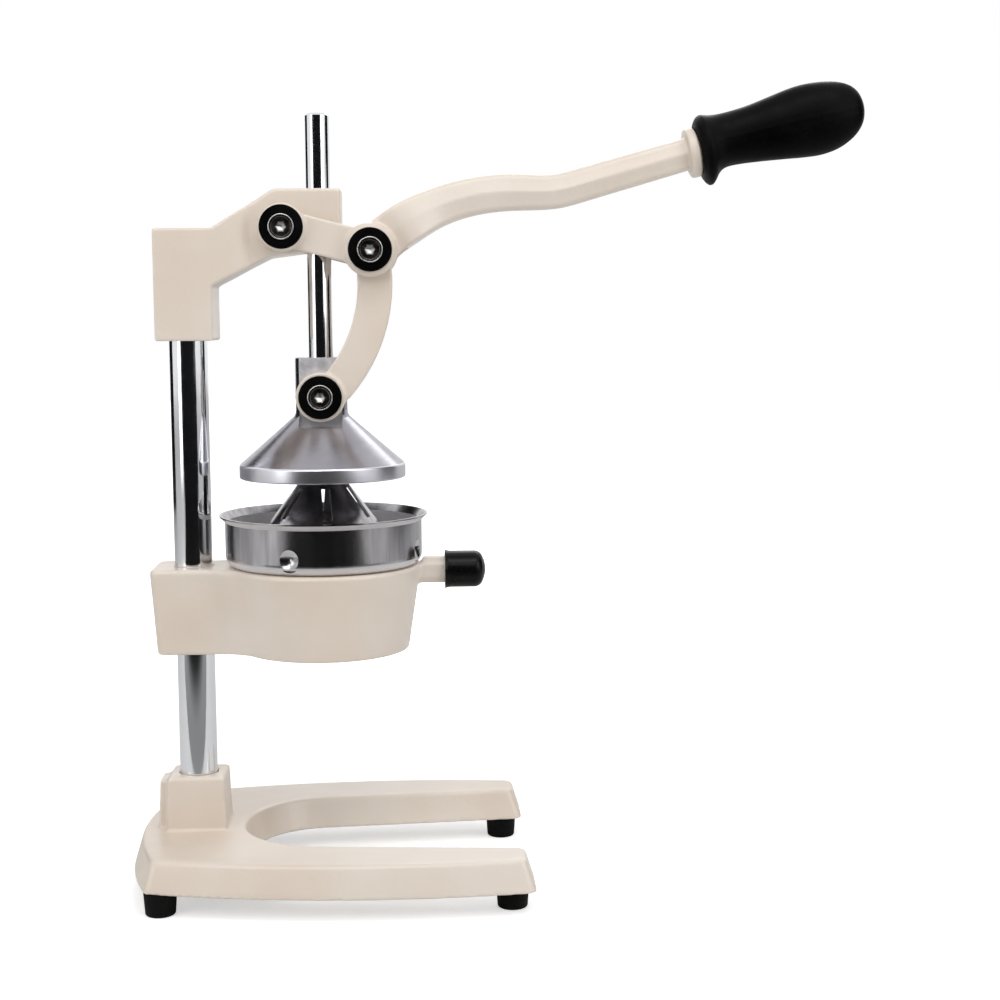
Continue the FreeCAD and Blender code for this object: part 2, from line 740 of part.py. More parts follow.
def make_plunger():
    part = body("plunger_shaft")
    profile = sketch(part, "XZ_Plane")
    radius = size.shaft_dia / 2
    spigot = size.spigot_dia / 2
    spigot_low = size.yoke_pivot_z + size.pin_dia / 2 + 3
    outline(profile, [(NOTHING, spigot_low), (spigot, spigot_low), (spigot, size.neck_top),
        (radius, size.neck_top), (radius, size.shaft_top - 1.2), (radius - 1.2, size.shaft_top),
        (NOTHING, size.shaft_top)])
    turned(part, profile)
    part = body("press_cup")
    profile = sketch(part, "XZ_Plane")
    inner = size.cup_radius - size.cup_wall
    dome_radius = cap_radius(inner, size.cup_dome - 4.2)
    outline(profile, [(inner, size.cup_low), (size.cup_radius - 0.8, size.cup_low),
        (size.cup_radius, size.cup_low + 0.8), (size.cup_radius, size.cup_low + size.cup_band),
        (size.neck_radius + 1.5, size.neck_low - 0.6, -2), (size.neck_radius, size.neck_low + 1),
        (size.neck_radius, size.neck_top - 0.8), (size.neck_radius - 0.8, size.neck_top),
        (spigot, size.neck_top), (spigot, spigot_low), (NOTHING, spigot_low),
        (NOTHING, size.cup_low + size.cup_dome, -dome_radius), (inner, size.cup_low + 4.2)])
    turned(part, profile)
    flats = sketch(part, "YZ_Plane")
    for sign in (1, -1):
        rectangle(flats, sign * size.flat_half, size.flat_low, sign * (size.cup_radius + 2),
            size.neck_top + 2)
    pocket(part, flats, size.cup_radius * 2.5, side="Symmetric")
    cross = sketch(part, "XZ_Plane")
    circle(cross, NOTHING, size.yoke_pivot_z, size.pin_dia / 2 + size.running_gap)
    pocket(part, cross, size.cup_radius, side="Symmetric")
    return part


def pivot_set(name, x, z, face, sleeve_deep):
    """A pivot pin with, at both ends, a flanged bush, a bright ring and a socket screw."""
    recess = size.disc_thick - 1.4
    pin_end = face + recess
    ring_face = face + size.disc_thick + 0.8
    head_radius = size.ring_dia / 2 - size.ring_wall - 0.5
    pin = body(name + "_pin")
    profile = sketch(pin, "XY_Plane", (x, 0, z))
    hole = size.screw_dia / 2
    deep = 12
    radius = size.pin_dia / 2
    outline(profile, [(hole, -pin_end), (radius, -pin_end), (radius, pin_end), (hole, pin_end),
        (hole, pin_end - deep), (NOTHING, pin_end - deep), (NOTHING, deep - pin_end),
        (hole, deep - pin_end)])
    turned(pin, profile)
    bushes = body(name + "_bushes")
    rings = body(name + "_rings")
    screws = body(name + "_screws")
    for sign in (-1, 1):
        profile = sketch(bushes, "XY_Plane", (x, 0, z))
        outline(profile, [(radius, sign * (face - sleeve_deep)),
            (size.sleeve_dia / 2, sign * (face - sleeve_deep)), (size.sleeve_dia / 2, sign * face),
            (size.disc_dia / 2, sign * face), (size.disc_dia / 2,
            sign * (face + size.disc_thick - 0.5)),
            (size.disc_dia / 2 - 0.5, sign * (face + size.disc_thick)),
            (size.ring_dia / 2, sign * (face + size.disc_thick)), (size.ring_dia / 2, sign * pin_end),
            (radius, sign * pin_end)])
        turned(bushes, profile)
        profile = sketch(rings, "XY_Plane", (x, 0, z))
        inner = size.ring_dia / 2 - size.ring_wall
        outline(profile, [(hole, sign * pin_end), (size.ring_dia / 2 - 0.05, sign * pin_end),
            (size.ring_dia / 2 - 0.05, sign * (ring_face - 0.3)),
            (size.ring_dia / 2 - 0.35, sign * ring_face), (inner, sign * ring_face),
            (inner, sign * (pin_end + 0.6)), (hole, sign * (pin_end + 0.6))])
        turned(rings, profile)
        profile = sketch(screws, "XY_Plane", (x, 0, z))
        outline(profile, [(NOTHING, sign * (pin_end - 10)),
            (hole - size.thread_gap, sign * (pin_end - 10)),
            (hole - size.thread_gap, sign * (pin_end + 0.6)), (head_radius, sign * (pin_end + 0.6)),
            (head_radius, sign * (ring_face - 0.9)), (head_radius - 0.8, sign * (ring_face - 0.3)),
            (NOTHING, sign * (ring_face - 0.3))])
        turned(screws, profile)
    for sign in (-1, 1):
        socket = sketch(screws, "XZ_Plane", (x, z, sign * (ring_face - 0.3)))
        six_sides(socket, NOTHING, NOTHING, size.hex_flat)
        pocket(screws, socket, 1.6, flip=sign < 0)


# The lever's fork and arm: where each section stands, its slope, and its half height and half width
def lever_sections(fork_half):
    return [(as_size(37), as_size(375.2), as_size(42), as_size(12), fork_half, as_size(1.5)),
        (as_size(47), as_size(383), as_size(36), as_size(12), fork_half, as_size(2)),
        (as_size(57.5), as_size(389.3), as_size(28.5), as_size(11.6), fork_half - 1.6, as_size(2.5)),
        (as_size(68), as_size(394.4), as_size(22.5), as_size(11.1), fork_half - 6, as_size(3.5)),
        (as_size(80), as_size(398.6), as_size(16), as_size(10.8), as_size(10.8), as_size(4)),
        (as_size(95), as_size(401.8), as_size(8.5), as_size(10.6), as_size(9.6), as_size(4)),
        (as_size(111), as_size(403.2), as_size(2), as_size(10.4), as_size(9.3), as_size(4)),
        (as_size(125), as_size(403.1), as_size(1), as_size(10), as_size(9.2), as_size(4)),
        (as_size(137), as_size(403.6), as_size(6.5), as_size(9.7), as_size(9.2), as_size(4)),
        (as_size(149), as_size(406.3), as_size(14), as_size(9.6), as_size(9.2), as_size(4)),
        (size.collar_x, size.collar_z, size.lever_tilt, as_size(9.1), as_size(8.8), as_size(4))]


def make_lever():
    part = body("lever_casting")
    cheek_in = size.arm_half_wide + size.cheek_gap
    cheek_out = cheek_in + size.cheek_thick
    x1, z1, x2, z2 = size.head_pivot_x, size.head_pivot_z, size.link_pivot_x, size.link_pivot_z
    run, fall = x2 - x1, z1 - z2
    span = root(run * run + fall * fall)
    shift_x, shift_z = fall / span * size.web_half, run / span * size.web_half
    web = sketch(part, "XZ_Plane")
    outline(web, [(x1 - shift_x, z1 - shift_z), (x2 - shift_x, z2 - shift_z),
        (x2 + shift_x, z2 + shift_z), (x1 + shift_x, z1 + shift_z)])
    pad(part, web, cheek_out * 2, side="Symmetric")
    face = cheek_out + size.boss_rise
    for x, z, radius, flare in ((x1, z1, size.head_boss, size.head_flare),
            (x2, z2, size.link_boss, size.link_flare)):
        profile = sketch(part, "XY_Plane", (x, 0, z))
        outline(profile, [(NOTHING, -face), (radius - 0.6, -face), (radius, -face + 0.6),
            (radius + flare, -cheek_out), (radius + flare - 1.2, NOTHING), (radius + flare, cheek_out),
            (radius, face - 0.6), (radius - 0.6, face), (NOTHING, face)])
        turned(part, profile)
    rings = []
    for x, z, slope, high, wide, corner in lever_sections(cheek_out):
        ring = sketch(part, "YZ_Plane", (0, z, x), tilt=(Vector(1, 0, 0), -slope))
        lean = corner * 0.45
        top_half = wide - lean - corner * 0.85
        outline(ring, [(wide, NOTHING), (wide - lean, high - corner, corner), (top_half, high),
            (-top_half, high, corner), (lean - wide, high - corner), (-wide, NOTHING),
            (lean - wide, corner - high, corner), (-top_half, -high), (top_half, -high, corner),
            (wide - lean, corner - high)])
        rings.append(ring)
    loft(part, rings[:-1], ruled=False)
    loft(part, rings[-2:])
    flange = sketch(part, "XZ_Plane", (size.collar_x, size.collar_z, 0), tilt=(UP, size.grip_tilt))
    half = size.collar_thick / 2
    outline(flange, [(-half, NOTHING), (-half, size.collar_dia / 2 - 1.5, -1.5),
        (1.5 - half, size.collar_dia / 2), (half - 1.5, size.collar_dia / 2, -1.5),
        (half, size.collar_dia / 2 - 1.5), (half, size.tang_dia / 2),
        (half + size.tang_long, size.tang_dia / 2), (half + size.tang_long, NOTHING)])
    turned(part, flange, axis="H_Axis")
    fork = sketch(part, "XY_Plane", (0, 0, size.head_low))
    rectangle(fork, x1 - size.head_boss * 2, -cheek_in, size.fork_end, cheek_in)
    pocket(part, fork, size.head_top, flip=True)
    bores = sketch(part, "XZ_Plane")
    circle(bores, x1, z1, size.sleeve_dia / 2)
    circle(bores, x2, z2, size.sleeve_dia / 2)
    pocket(part, bores, face * 2 + 2, side="Symmetric")
    return face


def make_grip():
    part = body("lever_grip")
    start = size.collar_thick / 2 + size.seat_gap
    guard = sketch(part, "XZ_Plane", (size.collar_x, size.collar_z, 0), tilt=(UP, size.grip_tilt))
    radius, soft = size.guard_dia / 2, as_size(3)
    outline(guard, [(start, NOTHING), (start, radius - soft, -soft), (start + soft, radius),
        (start + size.guard_thick - soft, radius, -soft), (start + size.guard_thick, radius - soft),
        (start + size.guard_thick, NOTHING)])
    turned(part, guard, axis="H_Axis")
    stations = [(10, 19.4, 0.7, 18), (14, 18.7, 1.3, 16.8), (19, 17.7, 2.2, 15.8),
        (27, 16.8, 2.9, 14.9), (38, 16.9, 2.9, 14.4), (53, 18.6, 3.6, 15.4), (70, 20.6, 3.4, 16.6),
        (84, 19.8, 3.4, 16.2), (94, 16.6, 3.8, 13.8), (100, 11.6, 4, 9.8), (103.5, 4.5, 4, 4)]
    rings = []
    for along, high, lift, wide in stations:
        reach = size.grip_long * (along / 103.5)
        x = size.collar_x + reach * cosine(size.grip_tilt) - lift * sine(size.grip_tilt)
        z = size.collar_z + reach * sine(size.grip_tilt) + lift * cosine(size.grip_tilt)
        ring = sketch(part, "YZ_Plane", (0, z, x), tilt=(Vector(1, 0, 0), -size.grip_tilt))
        high, wide = as_size(high), as_size(wide)
        outline(ring, [(wide, NOTHING, high * 1.02), (NOTHING, high, high * 1.02),
            (-wide, NOTHING, high * 1.02), (NOTHING, -high, high * 1.02)])
        rings.append(ring)
    loft(part, rings, ruled=False)
    bore = sketch(part, "XZ_Plane", (size.collar_x, size.collar_z, 0), tilt=(UP, size.grip_tilt))
    rectangle(bore, NOTHING, NOTHING, size.collar_thick / 2 + size.tang_long + size.seat_gap,
        size.tang_dia / 2 + size.running_gap)
    turned(part, bore, axis="H_Axis", cut=True)


def make_rod():
    part = body("connecting_rod")
    web = sketch(part, "XZ_Plane")
    x2, z2, z3 = size.link_pivot_x, size.link_pivot_z, size.yoke_pivot_z
    outline(web, [(x2 - 8, z2 - 9), (x2 - 8, z2 - 12, -size.rod_inner_radius), (as_size(2), z3 + 12.6),
        (as_size(-4), z3 + 6), (as_size(6), z3 - 9), (as_size(14.2), z3 - 3.5, size.rod_outer_radius),
        (x2 + 11.6, z2 - 8), (x2, z2)])
    pad(part, web, size.rod_half_wide * 2, side="Symmetric")
    for x, z, radius, half in ((x2, z2, size.rod_eye, size.rod_half_wide),
            (NOTHING, z3, size.yoke_boss, size.rod_half_wide + size.yoke_boss_rise)):
        eye = sketch(part, "XZ_Plane")
        circle(eye, x, z, radius)
        pad(part, eye, half * 2, side="Symmetric")
    slot = sketch(part, "YZ_Plane")
    gap = size.flat_half + size.cheek_gap
    outline(slot, [(-gap, z3 - size.yoke_boss * 2), (gap, z3 - size.yoke_boss * 2),
        (gap, size.rod_slot_top, gap * 1.02), (-gap, size.rod_slot_top)])
    pocket(part, slot, 200, side="Symmetric")
    bore = sketch(part, "XZ_Plane")
    circle(bore, x2, z2, size.pin_dia / 2 + size.linkage_slack)
    circle(bore, NOTHING, z3, size.sleeve_dia / 2)
    pocket(part, bore, 60, side="Symmetric")
    return size.rod_half_wide + size.yoke_boss_rise


make_base()
make_feet()
make_column()
make_holder()
grub_screw("holder_grub_screw", size.holder_top - size.holder_high / 2, size.holder_back - 4)
make_stub_cap()
make_bowl()
make_reamer()
make_funnel()
make_head()
grub_screw("head_grub_screw", size.head_low + 24, size.column_back + size.socket_half_long - 0.5)
make_plunger()
lever_face = make_lever()
make_grip()
pivot_set("head_pivot", size.head_pivot_x, size.head_pivot_z, lever_face,
    size.cheek_thick + size.boss_rise - 1)
pivot_set("link_pivot", size.link_pivot_x, size.link_pivot_z, lever_face,
    size.cheek_thick + size.boss_rise - 1)
rod_face = make_rod()
pivot_set("yoke", NOTHING, size.yoke_pivot_z, rod_face,
    rod_face - size.flat_half - size.cheek_gap - 0.2)
doc.recompute()

for item in doc.Objects:
    if "Invalid" in item.State or "Error" in item.State:
        raise RuntimeError(f"{item.Label} failed: {item.State}")
for node in nodes:
    if node.Shape.isNull() or not node.Shape.isValid() or not node.Shape.Solids:
        raise RuntimeError(f"{node.Label} is not a sound solid")

os.makedirs("parts", exist_ok=True)
for node in nodes:
    node.Shape.exportStep(f"parts/{node.Label}.step")
    print(node.Label, len(node.Shape.Solids), round(node.Shape.Volume, 1))
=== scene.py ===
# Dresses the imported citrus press: materials, small details, floor, studio light and camera.
import json
import math

import bmesh
import bpy
from mathutils import Matrix, Vector


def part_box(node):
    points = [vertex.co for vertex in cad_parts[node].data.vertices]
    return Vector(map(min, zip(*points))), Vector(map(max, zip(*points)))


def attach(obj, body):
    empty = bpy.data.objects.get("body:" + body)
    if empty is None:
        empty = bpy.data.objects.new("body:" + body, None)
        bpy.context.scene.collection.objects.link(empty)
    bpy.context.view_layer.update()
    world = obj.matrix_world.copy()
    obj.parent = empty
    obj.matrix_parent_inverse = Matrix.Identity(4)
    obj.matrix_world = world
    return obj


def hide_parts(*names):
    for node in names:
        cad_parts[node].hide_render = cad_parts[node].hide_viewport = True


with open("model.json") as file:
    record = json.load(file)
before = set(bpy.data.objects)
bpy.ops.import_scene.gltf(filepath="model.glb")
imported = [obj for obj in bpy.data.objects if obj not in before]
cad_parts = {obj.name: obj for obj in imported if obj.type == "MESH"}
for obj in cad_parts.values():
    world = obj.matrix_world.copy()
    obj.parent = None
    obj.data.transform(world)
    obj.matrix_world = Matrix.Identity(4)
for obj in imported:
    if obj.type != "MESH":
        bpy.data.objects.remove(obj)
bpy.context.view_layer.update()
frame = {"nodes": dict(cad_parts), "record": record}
nodes = frame["nodes"]
scene = bpy.context.scene
scene.view_settings.view_transform = "Standard"


# Materials

CUP_SHADES = ((150, 149, 156), (170, 168, 175))
STEEL_SHADES = ((162, 160, 163), (192, 190, 192))
ENAMEL_SHADES = ((221, 207, 192), (228, 217, 205))
# Painted highlight: a lighter cream on the enamel's sharp edges, standing in for the light that catches the
# rounded edges
ENAMEL_EDGE_HIGHLIGHT = (240, 232, 222)
# Painted light: the near-white that the stainless faces looking at the bowl's axis are painted, standing in
# for the light inside the bowl
BOWL_INSIDE_PAINTED_LIGHT = (236, 235, 236)
# The dot product of normal and place is scaled to put 0.5 where a face is neither inward nor outward
INWARD_GAIN, INWARD_MIDDLE = 10, 0.5
INWARD_START, INWARD_STOP = 0.55, 0.7
PLASTIC_SPAN = 6
METAL_DARKENING = 0.75


def srgb(red, green, blue):
    """An 8-bit screen colour as the linear colour that shaders take."""
    channels = []
    for value in (red, green, blue):
        value /= 255
        channels.append(value / 12.92 if value <= 0.04045 else ((value + 0.055) / 1.055) ** 2.4)
    return (*channels, 1)


class Shader:
    """A material whose nodes are added in short calls."""

    def __init__(self, name, color, roughness, metallic=0.0, **extra):
        self.made = bpy.data.materials.new(name)
        self.made.use_nodes = True
        self.tree = self.made.node_tree
        self.surface = self.tree.nodes["Principled BSDF"]
        self.set("Base Color", color)
        self.set("Roughness", roughness)
        self.set("Metallic", metallic)
        for socket, value in extra.items():
            self.set(socket.replace("_", " "), value)
        self.place = self.add("ShaderNodeTexCoord").outputs["Object"]
        self.heights = []

    def set(self, socket, value):
        self.surface.inputs[socket].default_value = value

    def add(self, kind, **settings):
        node = self.tree.nodes.new(kind)
        for key, value in settings.items():
            setattr(node, key, value)
        return node

    def link(self, source, target):
        self.tree.links.new(source, target)

    def stretched(self, scale):
        """Object coordinates with their own scale per axis."""
        mapping = self.add("ShaderNodeMapping")
        mapping.inputs["Scale"].default_value = scale
        self.link(self.place, mapping.inputs["Vector"])
        return mapping.outputs["Vector"]

    def noise(self, scale, detail=3.0, rough=0.5, place=None):
        node = self.add("ShaderNodeTexNoise")
        node.inputs["Scale"].default_value = scale
        node.inputs["Detail"].default_value = detail
        node.inputs["Roughness"].default_value = rough
        self.link(place or self.place, node.inputs["Vector"])
        return node.outputs["Fac"]

    def ramp(self, source, low, high, start=0.35, stop=0.65):
        """Maps a factor onto the span from low to high."""
        node = self.add("ShaderNodeMapRange")
        node.inputs["From Min"].default_value = start
        node.inputs["From Max"].default_value = stop
        node.inputs["To Min"].default_value = low
        node.inputs["To Max"].default_value = high
        self.link(source, node.inputs["Value"])
        return node.outputs["Result"]

    def mix(self, factor, first, second):
        node = self.add("ShaderNodeMix", data_type="RGBA")
        self.link(factor, node.inputs["Factor"])
        for value, socket in ((first, node.inputs[6]), (second, node.inputs[7])):
            if isinstance(value, tuple):
                socket.default_value = value
            else:
                self.link(value, socket)
        return node.outputs[2]

    def paint(self, source):
        self.link(source, self.surface.inputs["Base Color"])

    def rough(self, source):
        self.link(source, self.surface.inputs["Roughness"])

    def bump(self, source, depth):
        """Adds a relief of the depth in metres, on top of those added before."""
        node = self.add("ShaderNodeBump")
        node.inputs["Strength"].default_value = 1
        node.inputs["Distance"].default_value = depth
        self.link(source, node.inputs["Height"])
        if self.heights:
            self.link(self.heights[-1], node.inputs["Normal"])
        self.heights.append(node.outputs["Normal"])
        self.link(node.outputs["Normal"], self.surface.inputs["Normal"])

    def edges(self):
        """A factor that is 1 on sharp outer edges; the enamel uses it for its painted edge highlight."""
        node = self.add("ShaderNodeNewGeometry")
        return self.ramp(node.outputs["Pointiness"], 0, 1, 0.52, 0.6)


def enamel():
    m = Shader("cream_enamel", srgb(224, 211, 197), 0.36, Coat_Weight=0.3, Coat_Roughness=0.15)
    base = m.mix(m.ramp(m.noise(14, 2), 0, 1), srgb(*ENAMEL_SHADES[0]), srgb(*ENAMEL_SHADES[1]))
    # The edges are painted lighter: a painted highlight where light catches the rounded edges
    m.paint(m.mix(m.edges(), base, srgb(*ENAMEL_EDGE_HIGHLIGHT)))
    m.rough(m.ramp(m.noise(60, 4), 0.32, 0.46))
    m.bump(m.noise(150, 4, 0.6), 0.0002)
    m.bump(m.noise(900, 2), 0.00005)
    return m.made


def chrome(name, darker, lighter, low, high):
    m = Shader(name, lighter, low, 1)
    m.rough(m.ramp(m.noise(35, 4), low, high))
    m.paint(m.mix(m.ramp(m.noise(22, 5), 0, 1), darker, lighter))
    m.bump(m.noise(30, 3, place=m.stretched((60, 60, 4))), 0.00001)
    return m.made


def cup_metal():
    m = Shader("satin_cup", srgb(170, 168, 175), 0.21, 1, Anisotropic=0.3)
    rings = m.noise(60, 3, place=m.stretched((1, 1, 26)))
    m.rough(m.ramp(rings, 0.17, 0.25))
    m.paint(m.mix(m.ramp(m.noise(24, 4), 0, 1), srgb(*CUP_SHADES[0]), srgb(*CUP_SHADES[1])))
    m.bump(rings, 0.000004)
    m.bump(m.noise(70, 3), 0.00004)
    return m.made


def stainless():
    """Turned steel that is duller on the faces that look at the bowl's axis, and painted brighter there as
    painted light for the lit inside of the bowl.
    """
    m = Shader("stainless", srgb(164, 162, 164), 0.2, 1, Anisotropic=0.5)
    turned = m.noise(60, 4, place=m.stretched((1, 1, 40)))
    marks = m.noise(45, 3, place=m.stretched((4, 4, 0.4)))
    shape = m.add("ShaderNodeNewGeometry")
    facing = m.add("ShaderNodeVectorMath", operation="DOT_PRODUCT")
    m.link(shape.outputs["Normal"], facing.inputs[0])
    m.link(shape.outputs["Position"], facing.inputs[1])
    scaled = m.add("ShaderNodeMath", operation="MULTIPLY_ADD")
    m.link(facing.outputs["Value"], scaled.inputs[0])
    scaled.inputs[1].default_value = INWARD_GAIN
    scaled.inputs[2].default_value = INWARD_MIDDLE
    outward = scaled.outputs["Value"]
    m.rough(m.ramp(outward, 0.68, 0.19, INWARD_START, INWARD_STOP))
    worn = m.mix(m.ramp(marks, 0, 1), srgb(*STEEL_SHADES[0]), srgb(*STEEL_SHADES[1]))
    # Faces that look at the bowl's axis get the painted light colour; the others get the worn steel shades
    m.paint(m.mix(m.ramp(outward, 0, 1, INWARD_START, INWARD_STOP), srgb(*BOWL_INSIDE_PAINTED_LIGHT), worn))
    m.bump(turned, 0.000004)
    m.bump(marks, 0.00002)
    return m.made


def plastic(name, shade, low, high, grain, depth, shine):
    m = Shader(name, srgb(shade, shade, shade), low, Specular_IOR_Level=shine)
    lighter = shade + PLASTIC_SPAN
    m.paint(m.mix(m.ramp(m.noise(40, 4), 0, 1), srgb(shade, shade, shade), srgb(lighter, lighter, lighter)))
    m.rough(m.ramp(m.noise(90, 4), low, high))
    m.bump(m.noise(grain, 3, 0.6), depth)
    return m.made


def plain_metal(name, color, low, high, grain=0.00002):
    m = Shader(name, color, low, 1)
    darker = tuple(channel * METAL_DARKENING for channel in color[:3]) + (1,)
    m.paint(m.mix(m.ramp(m.noise(120, 4), 0, 1), darker, color))
    m.rough(m.ramp(m.noise(200, 3), low, high))
    m.bump(m.noise(500, 3), grain)
    return m.made


finishes = {
    "cream_enamel": enamel(),
    "polished_chrome": chrome("polished_chrome", srgb(219, 221, 225), srgb(232, 233, 235), 0.045, 0.11),
    "satin_cup": cup_metal(),
    "stainless": stainless(),
    "black_plastic": plastic("black_plastic", 3, 0.36, 0.5, 1400, 0.00004, 0.05),
    "black_vinyl": plastic("black_vinyl", 5, 0.2, 0.3, 300, 0.00006, 0.13),
    "black_rubber": plastic("black_rubber", 8, 0.55, 0.8, 700, 0.00006, 0.12),
    "zinc_steel": plain_metal("zinc_steel", srgb(190, 191, 190), 0.25, 0.4),
    "black_screws": plain_metal("black_screws", srgb(112, 104, 101), 0.18, 0.3),
    "bright_lip": plain_metal("bright_lip", srgb(236, 235, 234), 0.22, 0.32),
    "milled_steel": plain_metal("milled_steel", srgb(232, 230, 233), 0.54, 0.64),
    "turned_rim": chrome("turned_rim", srgb(212, 211, 218), srgb(220, 219, 225), 0.29, 0.33),
    "bush_bronze": plain_metal("bush_bronze", srgb(176, 140, 92), 0.3, 0.45)}

slot_of = {row["node"]: row["material_slot"] for row in frame["record"]["subparts"]}
for name, thing in nodes.items():
    thing.data.materials.clear()
    thing.data.materials.append(finishes[slot_of[name]])


# The castings have soft edges and soft inner corners: each is remeshed finely, smoothed and thinned out
KEPT_SHARE = 0.3
SMOOTHING = 0.5
# Each casting: name, mesh step in metres, rounds of smoothing
for name, grain, rounds in (("head_casting", 0.0008, 10), ("lever_casting", 0.0007, 5),
                            ("connecting_rod", 0.0006, 7), ("bowl_holder", 0.001, 3),
                            ("base_casting", 0.0011, 4)):
    remesh = nodes[name].modifiers.new("remesh", "REMESH")
    remesh.mode = "VOXEL"
    remesh.voxel_size = grain
    remesh.use_smooth_shade = True
    soften = nodes[name].modifiers.new("soften", "SMOOTH")
    soften.factor = SMOOTHING
    soften.iterations = rounds
    thin = nodes[name].modifiers.new("thin", "DECIMATE")
    thin.ratio = KEPT_SHARE


# Pieces that show more than the solids do

def piece(name, points, faces, finish, body, slot=None, smooth=True):
    """A mesh piece with a finish, riding on a body.

    The slot is the record's name for the finish, where that differs; it is not used.
    """
    mesh = bpy.data.meshes.new(name)
    mesh.from_pydata([tuple(point) for point in points], [], faces)
    mesh.validate()
    mesh.polygons.foreach_set("use_smooth", [smooth] * len(mesh.polygons))
    mesh.materials.append(finishes[finish])
    made = bpy.data.objects.new(name, mesh)
    scene.collection.objects.link(made)
    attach(made, body)
    return made


def skin(rings, hoop=False):
    """Points and faces of a closed skin through rings that have equally many points.

    A hoop's last ring is joined to its first, and the ends of any other skin get a cap each.
    """
    around = len(rings[0])
    points = [point for ring in rings for point in ring]
    faces = []
    for level in range(len(rings) if hoop else len(rings) - 1):
        first = level * around
        second = (first + around) % len(points)
        for n in range(around):
            after = (n + 1) % around
            faces.append((first + n, first + after, second + after, second + n))
    if not hoop:
        faces.append(tuple(reversed(range(around))))
        faces.append(tuple(range(len(points) - around, len(points))))
    return points, faces


def between(rows, steps):
    """A smooth run of rows through the given ones, with so many steps between each pair."""
    run = []
    last = len(rows) - 1
    for here in range(last):
        before, after = rows[max(here - 1, 0)], rows[min(here + 2, last)]
        start, stop = rows[here], rows[here + 1]
        for step in range(steps):
            t = step / steps
            run.append([0.5 * (2 * b + (c - a) * t + (2 * a - 5 * b + 4 * c - d) * t * t
                               + (3 * b - a - 3 * c + d) * t ** 3)
                        for a, b, c, d in zip(before, start, stop, after)])
    run.append(list(rows[last]))
    return run


# Grip: millimetres from the collar's middle, as (along, top, bottom, half width)
GRIP_TILT = math.radians(12.5)
GRIP = ((3.6, 14.9, -14.9, 14.9), (4.4, 17.0, -17.8, 17.0), (6.2, 19.3, -20.2, 19.2),
        (8.2, 20.2, -20.4, 20.0), (10.2, 19.8, -18.6, 19.2), (12.6, 19.2, -15.5, 17.7),
        (15.5, 18.7, -13.3, 16.5), (19.5, 18.4, -12.3, 15.7), (27, 18.6, -12.5, 14.9),
        (38, 19.6, -13.6, 14.5), (53, 22.1, -15.5, 15.4), (64, 23.8, -17.0, 16.3),
        (74, 24.1, -17.7, 16.7), (84, 23.0, -16.5, 16.0), (92, 20.9, -13.4, 14.3),
        (97.5, 18.0, -9.7, 11.8), (101, 14.3, -5.6, 8.6), (102.8, 10.0, -1.3, 5.2),
        (103.3, 6.2, 2.4, 1.8))
# The bore for the tang and the mouth round the collar, as (along, radius)
MOUTH = ((60, 6.1), (4.9, 6.1), (4.9, 12.9), (3.6, 13.5))
COLLAR = Vector((0.2172, 0, 0.4257))
SEAM, SEAM_START, SEAM_STOP = 0.22, 13, 100
GRIP_POINTS, GRIP_STEPS = 96, 5
tilt_x, tilt_z = math.cos(GRIP_TILT), math.sin(GRIP_TILT)


def grip_point(along, up, side):
    """A point of the grip's own frame in the part's frame."""
    return COLLAR + Vector((along * tilt_x - up * tilt_z, side, along * tilt_z + up * tilt_x)) / 1000


def grip_ring(along, top, bottom, wide, seam=0.0):
    """One section: an oval with a raised moulding seam at both sides."""
    ring = []
    for n in range(GRIP_POINTS):
        turn = 2 * math.pi * n / GRIP_POINTS
        proud = seam if n % (GRIP_POINTS // 2) == 0 else 0
        up = (top + bottom) / 2 + (top - bottom) / 2 * math.sin(turn)
        ring.append(grip_point(along, up, (wide + proud) * math.cos(turn)))
    return ring


rings = [grip_ring(along, radius, -radius, radius) for along, radius in MOUTH]
for row in between(GRIP, GRIP_STEPS):
    rings.append(grip_ring(*row, seam=SEAM if SEAM_START < row[0] < SEAM_STOP else 0))
grip = piece("grip_dressed", *skin(rings), "black_plastic", "lever")
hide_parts("lever_grip")


# Screws: a bright lip on each ring and a bright lining in each hexagon socket
def lathe(center, outward, profile, count):
    """Rings turned about the Y axis: the profile's rows are (radius, height outwards) in millimetres."""
    rings = []
    for radius, high in profile:
        turns = [2 * math.pi * n / count for n in range(count)]
        rings.append([center + Vector((radius * math.cos(turn), outward * high, radius * math.sin(turn)))
                      / 1000 for turn in turns])
    return rings if outward > 0 else rings[::-1]


RING_RADIUS, SOCKET_RADIUS = 7.4, 2.86
LIP = ((RING_RADIUS - 0.72, -0.3), (RING_RADIUS - 0.7, 0.3), (RING_RADIUS - 0.55, 0.52),
       (RING_RADIUS - 0.25, 0.42), (RING_RADIUS - 0.02, 0.05), (RING_RADIUS, -0.4))
LINING = ((SOCKET_RADIUS + 0.35, -0.3), (SOCKET_RADIUS - 0.3, -0.8), (0.05, -1.9), (0.05, -1.7),
          (SOCKET_RADIUS - 0.4, -0.5), (SOCKET_RADIUS, -0.12), (SOCKET_RADIUS + 0.35, 0.03))
LIP_POINTS, HEXAGON = 64, 6
for joint, body in (("head_pivot", "lever"), ("link_pivot", "lever"), ("yoke", "con_rod")):
    low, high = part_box(joint + "_screws")
    for side, outward in (("near", -1), ("far", 1)):
        face = Vector(((low.x + high.x) / 2, low.y if outward < 0 else high.y, (low.z + high.z) / 2))
        lip = lathe(face, outward, LIP, LIP_POINTS)
        piece(f"{joint}_{side}_lip", *skin(lip, hoop=True), "bright_lip", body, "zinc_steel")
        lining = lathe(face, outward, LINING, HEXAGON)
        piece(f"{joint}_{side}_socket", *skin(lining, hoop=True), "zinc_steel", body, smooth=False)


